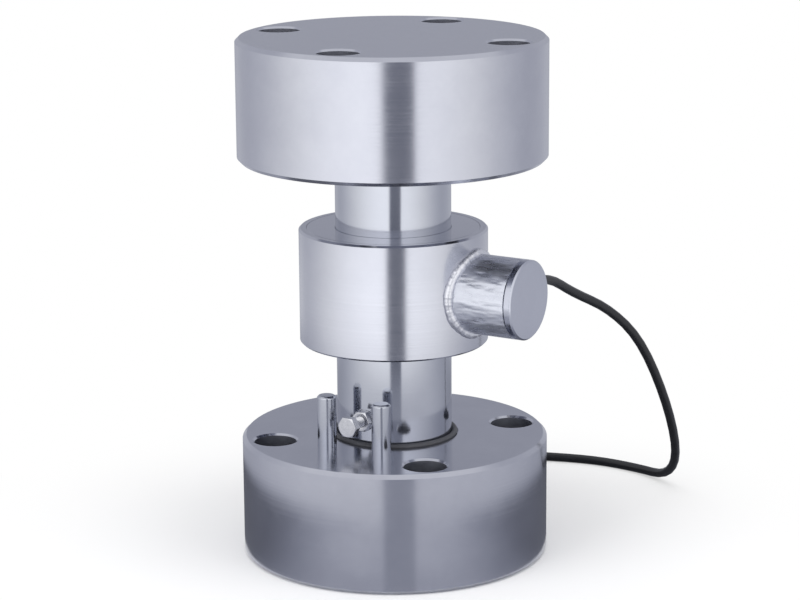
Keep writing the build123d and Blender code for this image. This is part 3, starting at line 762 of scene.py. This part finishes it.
# Sleeve: a thin turned tube of stainless steel round the gauges, welded to its two end rings. It is
# satin polished, softer than the column.
sleeve_steel = turned_steel("satin_sleeve_steel", "#c4c6cf", "#b5b7c1", 0.22, 0.14, 0.8, 0.003)
sleeve_foot, sleeve_top, sleeve_out, sleeve_in, sleeve_edge = 113.0, 173.0, 49.0, 45.0, 1.0
sleeve = turn(
    "turned_sleeve",
    [
        (sleeve_foot, sleeve_in),
        (sleeve_foot, sleeve_out - sleeve_edge),
        (sleeve_foot + sleeve_edge, sleeve_out),
        (sleeve_top - sleeve_edge, sleeve_out),
        (sleeve_top, sleeve_out - sleeve_edge),
        (sleeve_top, sleeve_in),
        (sleeve_foot, sleeve_in),
    ],
)
stub_height = 143.0
stub_centre, stub_axis, stub_side = (0, 0, stub_height), (1, 0, 0), (0, 1, 0)
port_radius, port_from, port_to = 7.0, 40.0, 55.0
port = [(port_from, 0), (port_from, port_radius), (port_to, port_radius), (port_to, 0)]
cut(sleeve, turn("port_drill", port, 64, stub_centre, stub_axis, stub_side))
finish_edges(sleeve, 0.2)
take_place(sleeve, sleeve_steel, "sleeve_steel", "sleeve")

# End rings: turned rings with a thin web that close the sleeve above and below, flush with its ends.
ring_thick, ring_web, ring_hub, ring_rim, ring_edge = 5.0, 1.2, 3.0, 3.0, 0.3
ring_outline = [
    (0, column_radius + ring_edge),
    (0, sleeve_in - ring_edge),
    (ring_edge, sleeve_in),
    (ring_thick, sleeve_in),
    (ring_thick, sleeve_in - ring_rim),
    (ring_web, sleeve_in - ring_rim),
    (ring_web, column_radius + ring_hub),
    (ring_thick, column_radius + ring_hub),
    (ring_thick, column_radius),
    (ring_edge, column_radius),
    (0, column_radius + ring_edge),
]
for ring_name, ring_face, inward in (("lower_end_ring", sleeve_foot, 1), ("upper_end_ring", sleeve_top, -1)):
    ring = turn(
        ring_name.replace("end_ring", "web_ring"),
        [(ring_face + inward * along, out) for along, out in ring_outline],
    )
    finish_edges(ring, 0.1)
    take_place(ring, sleeve_steel, "sleeve_steel", ring_name)

# Cable stub: a bored bar of stainless steel set square on the sleeve and welded all round its foot.
# It is polished by hand over the weld, which leaves its surface slightly wavy.
stub_steel, tree, shader = start_material("hand_polished_steel", Metallic=0.9)
place = node(tree, "ShaderNodeTexCoord").outputs["Object"]
along_stub = node(tree, "ShaderNodeMapping", {"Vector": place, "Scale": (0.35, 1.0, 1.0)})
waves = node(
    tree, "ShaderNodeTexNoise",
    {"Vector": along_stub.outputs["Vector"], "Scale": 1 / (6 * MM), "Detail": 2.0, "Roughness": 0.45},
)
scuffs = node(
    tree, "ShaderNodeTexNoise",
    {"Vector": along_stub.outputs["Vector"], "Scale": 1 / (3 * MM), "Detail": 4.0},
)
tone = node(
    tree, "ShaderNodeMix", {"Factor": scuffs.outputs["Fac"], "A": colour("#b6b9c5"), "B": colour("#dcdfe8")},
    data_type="RGBA",
)
tree.links.new(tone.outputs[2], shader.inputs["Base Color"])
gloss = node(
    tree, "ShaderNodeMapRange",
    {"Value": scuffs.outputs["Fac"], "From Min": 0.3, "From Max": 0.7, "To Min": 0.22, "To Max": 0.4},
)
tree.links.new(gloss.outputs["Result"], shader.inputs["Roughness"])
relief = node(tree, "ShaderNodeBump", {"Height": waves.outputs["Fac"], "Distance": 1.5 * MM})
tree.links.new(relief.outputs["Normal"], shader.inputs["Normal"])
stub_radius, stub_end, stub_bore, stub_throat, board_seat = 20.5, 76.0, 16.5, 14.5, 54.0
joint_edge, joint_depth = 0.3, 0.8
bar_foot = 40.0
stub = turn(
    "welded_stub",
    [
        (bar_foot, stub_throat),
        (bar_foot, stub_radius),
        (stub_end - joint_edge, stub_radius),
        (stub_end, stub_radius - joint_depth),
        (stub_end, stub_bore),
        (board_seat, stub_bore),
        (board_seat, stub_throat),
        (bar_foot, stub_throat),
    ],
    144,
    stub_centre,
    stub_axis,
    stub_side,
)
seat = [(sleeve_foot, 0), (sleeve_foot, sleeve_out), (sleeve_top, sleeve_out), (sleeve_top, 0)]
cut(stub, turn("seat_cutter", seat, 192))
gland_origin, gland_axis = (62, 0, stub_height), (0, 1, 0)
gland_seat, spot_face_radius, gland_thread_radius, past_stub = 18.42, 9.0, 6.0, 30.0
for tool_name, tool_foot, tool_radius in (
    ("facing_cutter", gland_seat, spot_face_radius),
    ("gland_drill", 10.0, gland_thread_radius),
):
    tool = [(tool_foot, 0), (tool_foot, tool_radius), (past_stub, tool_radius), (past_stub, 0)]
    cut(stub, turn(tool_name, tool, 64, gland_origin, gland_axis))
finish_edges(stub, 0.12)
stub.data.materials.append(stub_steel)

# The weld is a rippled bead of bright metal, a fillet of about 3 mm a leg.
weld_metal = mottled(
    "bright_weld_metal", "#cbccd4", "#eeeff4", grain=1.2, detail=3.0, gloss=(0.28, 0.5), depth=0.15,
    Metallic=1.0,
)
bead_points, bead_radius, bead_out = 240, 2.5, 0.2
bead_swells = ((0.03, 1.9), (0.035, 0.83), (0.08, 0.233))
bead_curve = bpy.data.curves.new("weld_bead", "CURVE")
bead_curve.dimensions = "3D"
bead_curve.bevel_depth = bead_radius * MM
bead_curve.bevel_resolution = 4
bead_line = bead_curve.splines.new("POLY")
bead_line.points.add(bead_points - 1)
bead_line.use_cyclic_u = True
for number, point in enumerate(bead_line.points):
    angle = 2 * pi * number / bead_points
    across = (stub_radius + bead_out) * cos(angle)
    along = sqrt((sleeve_out + bead_out) ** 2 - across**2)
    point.co = (along * MM, across * MM, (stub_height + (stub_radius + bead_out) * sin(angle)) * MM, 1.0)
    point.radius = 1.0 + sum(swell * sin(number * pace) for swell, pace in bead_swells)
bead = bpy.data.objects.new("weld_bead", bead_curve)
scene.collection.objects.link(bead)
select_only(bead)
bpy.ops.object.convert(target="MESH")
bead = bpy.context.object
bpy.ops.object.shade_smooth()
bead.data.materials.append(weld_metal)
stub = join(stub, bead)
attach(stub, "root")
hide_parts("stub_housing")

# End cap: a turned disc of stainless steel, a little duller than the stub. Its spigot fits the stub's
# bore and holds a seal ring in a groove.
cap_steel = turned_steel(
    "turned_cap_steel", "#bfc2cd", "#b1b4c1", 0.26, 0.17, 0.7, 0.003, stub_centre, (0, -pi / 2, 0)
)
cap_end, cap_edge, spigot_foot, spigot_radius = 80.0, 0.8, 71.0, 16.45
groove_foot, groove_end, groove_radius = 72.6, 74.6, 15.05
cap = turn(
    "screwed_cap",
    [
        (spigot_foot, 0),
        (spigot_foot, spigot_radius),
        (groove_foot, spigot_radius),
        (groove_foot, groove_radius),
        (groove_end, groove_radius),
        (groove_end, spigot_radius),
        (stub_end, spigot_radius),
        (stub_end, stub_radius - joint_depth),
        (stub_end + joint_edge, stub_radius),
        (cap_end - cap_edge, stub_radius),
        (cap_end, stub_radius - cap_edge),
        (cap_end, 0),
    ],
    144,
    stub_centre,
    stub_axis,
    stub_side,
)
finish_edges(cap, 0.12)
take_place(cap, cap_steel, "stub_steel", "stub_end_cap")

# Cap seal, gland washer and cable boot: moulded nitrile that is shut in or little touched, and so still
# a deep black.
nitrile = mottled(
    "black_nitrile", "#0b0b0d", "#1f2023", grain=2.0, detail=5.0, gloss=(0.42, 0.66), depth=0.03, IOR=1.52
)
nodes["cap_seal_ring"].material_slots[0].material = nitrile

# Potting: silicone poured round the soldered joints in the stub, where it sets and stays hidden. It is a
# cloudy grey with a soft shine.
silicone = mottled(
    "poured_silicone", "#8c8e92", "#a3a5a9", grain=5.0, detail=3.0, gloss=(0.3, 0.5), IOR=1.43
)
nodes["stub_potting"].material_slots[0].material = silicone

# Cable gland: nickel-plated brass, turned from hexagon bar, on a rubber washer. Its nut squeezes a
# moulded rubber boot round the cable. The nickel is a bright, slightly yellow mirror.
nickel = mottled(
    "nickel_plated_brass", "#b8b3a8", "#cfcac0", grain=2.0, detail=4.0, gloss=(0.14, 0.3), Metallic=1.0
)
hex_across, hex_foot, hex_top, neck_top, neck_radius = 14.0, 19.92, 24.42, 29.42, 5.5
insert_radius, insert_foot = 4.2, 23.42
gland_foot, lead_in_end, lead_in_radius, cable_way = 10.42, 11.2, 5.2, 2.7
gland_hex = hexagon("gland_hexagon", hex_across, hex_foot, hex_top, gland_origin, gland_axis, both_ends=True)
through = [(hex_foot - 1, 0), (hex_foot - 1, insert_radius), (hex_top + 1, insert_radius), (hex_top + 1, 0)]
cut(gland_hex, turn("gland_bore", through, 64, gland_origin, gland_axis))
gland_barrel = turn(
    "gland_barrel",
    [
        (gland_foot, cable_way),
        (gland_foot, lead_in_radius),
        (lead_in_end, gland_thread_radius),
        (hex_foot, gland_thread_radius),
        (hex_foot, neck_radius),
        (neck_top, neck_radius),
        (neck_top, insert_radius),
        (insert_foot, insert_radius),
        (insert_foot, cable_way),
        (gland_foot, cable_way),
    ],
    96,
    gland_origin,
    gland_axis,
)
gland = join(gland_hex, gland_barrel)
finish_edges(gland, 0.1)
take_place(gland, nickel, "gland_metal", "gland_body")
cap_nut_foot, cap_nut_top, boot_root, boot_tip_radius, boot_tip = 24.72, 32.42, 3.75, 3.1, 40.42
cap_nut = hexagon("gland_cap_nut", hex_across, cap_nut_foot, cap_nut_top, gland_origin, gland_axis)
nut_play = 0.05
inside = [
    (cap_nut_foot - 1, 0),
    (cap_nut_foot - 1, neck_radius + nut_play),
    (neck_top, neck_radius + nut_play),
    (neck_top, boot_root),
    (cap_nut_top + 1, boot_root),
    (cap_nut_top + 1, 0),
]
cut(cap_nut, turn("nut_drill", inside, 64, gland_origin, gland_axis))
finish_edges(cap_nut, 0.25)
take_place(cap_nut, nickel, "gland_metal", "gland_nut")
washer_radius = 8.0
washer = turn(
    "gland_flat_seal",
    [
        (gland_seat, gland_thread_radius),
        (gland_seat, washer_radius),
        (hex_foot, washer_radius),
        (hex_foot, gland_thread_radius),
        (gland_seat, gland_thread_radius),
    ],
    96,
    gland_origin,
    gland_axis,
)
finish_edges(washer, 0.3)
take_place(washer, nitrile, "seal_rubber", "gland_washer")
cable_radius, boot_plug_radius = cable_dia / 2, 4.1
boot = turn(
    "moulded_boot",
    [
        (insert_foot, cable_radius),
        (insert_foot, boot_plug_radius),
        (neck_top, boot_plug_radius),
        (neck_top, boot_root),
        (cap_nut_top, boot_root),
        (boot_tip - 1.5, boot_tip_radius + 0.12),
        (boot_tip - 0.3, boot_tip_radius),
        (boot_tip, boot_tip_radius - 0.25),
        (boot_tip, cable_radius),
        (insert_foot, cable_radius),
    ],
    64,
    gland_origin,
    gland_axis,
)
finish_edges(boot, 0.1)
take_place(boot, nitrile, "seal_rubber", "cable_boot")

# Coil tie: a woven hook-and-loop strap round all the turns, with a soft dark pile.
strap_cloth, tree, shader = start_material("hook_and_loop_strap", IOR=1.5, Roughness=0.85)
shader.inputs["Sheen Weight"].default_value = 0.4
place = node(tree, "ShaderNodeTexCoord").outputs["Object"]
pile = node(tree, "ShaderNodeTexVoronoi", {"Vector": place, "Scale": 1 / (0.5 * MM)})
tone = node(
    tree, "ShaderNodeMix",
    {"Factor": pile.outputs["Distance"], "A": colour("#202126"), "B": colour("#3a3b42")},
    data_type="RGBA",
)
tree.links.new(tone.outputs[2], shader.inputs["Base Color"])
relief = node(tree, "ShaderNodeBump", {"Height": pile.outputs["Distance"], "Distance": 0.2 * MM})
tree.links.new(relief.outputs["Normal"], shader.inputs["Normal"])
tie_in, tie_out, tie_top, tie_wide, tie_thick, tie_corner = 21.36, 48.5, 21.0, 5.0, 1.0, 2.2
tie_strips = 4
bpy.ops.object.select_all(action="DESELECT")
bpy.ops.mesh.primitive_plane_add(size=1.0, rotation=(pi / 2, 0, 0))
tie = bpy.context.object
tie.name = tie.data.name = "strap_loop"
bpy.ops.object.transform_apply(location=True, rotation=True, scale=True)
bpy.ops.object.mode_set(mode="EDIT")
bpy.ops.mesh.select_all(action="SELECT")
bpy.ops.transform.resize(value=((tie_out - tie_in) * MM, 1.0, tie_top * MM))
bpy.ops.transform.translate(value=((tie_in + tie_out) / 2 * MM, -tie_wide / 2 * MM, tie_top / 2 * MM))
bpy.ops.mesh.bevel(offset=tie_corner * MM, segments=5, affect="VERTICES")
bpy.ops.mesh.delete(type="ONLY_FACE")
bpy.ops.mesh.select_all(action="SELECT")
for _ in range(tie_strips):
    bpy.ops.mesh.extrude_edges_move(TRANSFORM_OT_translate={"value": (0, tie_wide / tie_strips * MM, 0)})
bpy.ops.mesh.select_all(action="SELECT")
bpy.ops.mesh.normals_make_consistent(inside=False)
bpy.ops.object.mode_set(mode="OBJECT")
tie.rotation_euler.z = radians(tie_angle)
tie.location = (coil_centre.x * MM, coil_centre.y * MM, 0)
select_only(tie)
bpy.ops.object.transform_apply(location=True, rotation=True, scale=True)
wall = tie.modifiers.new("strap_wall", "SOLIDIFY")
wall.thickness, wall.offset = tie_thick * MM, -1.0
bpy.ops.object.modifier_apply(modifier=wall.name)
finish_edges(tie, 0.25)
take_place(tie, strap_cloth, "tie_fabric", "coil_tie")

# End of the cable: a black heat-shrunk sleeve that lies on the coil, satin and faintly wrinkled, with
# four insulated cores fanned out of it and their tips stripped to tinned copper.
shrink = mottled(
    "shrunk_polyolefin", "#141518", "#222328", grain=2.5, detail=2.0, gloss=(0.3, 0.5), depth=0.1, IOR=1.49
)
sleeve_start, sleeve_across, sleeve_long, shrink_radius, sleeve_height = -44.0, 151.0, 18.0, 3.2, 23.2
shrunk = turn(
    "shrunk_sleeve",
    [
        (0, 0),
        (0, 2.6),
        (0.4, 3.0),
        (1.5, shrink_radius),
        (sleeve_long - 5, shrink_radius),
        (sleeve_long - 2, 3.0),
        (sleeve_long - 0.3, 2.6),
        (sleeve_long, 2.3),
        (sleeve_long, 0),
    ],
    64,
    (sleeve_start, sleeve_across, sleeve_height),
    (-1, 0, 0),
    (0, 1, 0),
)
finish_edges(shrunk, 0.2)
take_place(shrunk, shrink, "shrink_sleeve", "cable_end_sleeve")

# Tinned strands are a warm silver, and the vinyl on the cores has an even low shine.
tinned = mottled(
    "tinned_copper", "#b9b5ad", "#d8d5cf", grain=0.4, detail=2.0, Metallic=1.0, Roughness=0.32
)
core_radius, core_pitch, core_rooted, strand_radius, bared = 0.8, 2.0, 0.2, 0.5, 5.0
core_tip, core_spread, core_arch, coil_top = -88.0, 6.0, 21.4, 20.0
for number, (core_colour, core_dark, core_slot) in enumerate(
    (
        ("#c8242b", "#a81c22", "core_red"),
        ("#1b1c1f", "#121316", "core_black"),
        ("#2f8f4e", "#25753f", "core_green"),
        ("#eceae4", "#dbd9d2", "core_white"),
    )
):
    insulation = mottled(
        f"{core_slot}_vinyl", core_dark, core_colour, grain=1.0, detail=2.0, IOR=1.53, Roughness=0.38
    )
    side, row = divmod(number, 2)
    root = Vector((
        sleeve_start - sleeve_long + core_rooted,
        sleeve_across + core_pitch * (side - 0.5),
        sleeve_height + core_pitch * (row - 0.5),
    ))
    tip = Vector((core_tip, sleeve_across + (number - 1.5) * core_spread, coil_top + core_radius))
    line = [
        root,
        root + Vector((-5, 0, 0)),
        Vector(((root.x + tip.x) / 2 - 2, root.y * 0.35 + tip.y * 0.65, core_arch)),
        tip + Vector((bared + 3, (root.y - tip.y) * 0.12, 0)),
        tip + Vector((bared, 0, 0)),
    ]
    lengths = []
    for label, points, radius, material in (
        (f"core_{number + 1}", line, core_radius, insulation),
        ("strands", [line[-1] + Vector((1, 0, 0)), tip], strand_radius, tinned),
    ):
        curve = bpy.data.curves.new(label, "CURVE")
        curve.dimensions = "3D"
        curve.bevel_depth = radius * MM
        curve.bevel_resolution = 3
        curve.use_fill_caps = True
        spline = curve.splines.new("NURBS")
        spline.points.add(len(points) - 1)
        for point, where in zip(spline.points, points):
            point.co = (*(where * MM), 1.0)
        spline.order_u = 3
        spline.use_endpoint_u = True
        curve.materials.append(material)
        length = bpy.data.objects.new(label, curve)
        scene.collection.objects.link(length)
        select_only(length)
        bpy.ops.object.convert(target="MESH")
        bpy.ops.object.shade_smooth_by_angle(angle=radians(50))
        lengths.append(bpy.context.object)
    core = join(*lengths)
    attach(core, "root")
    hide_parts(f"cable_core_{number + 1}")
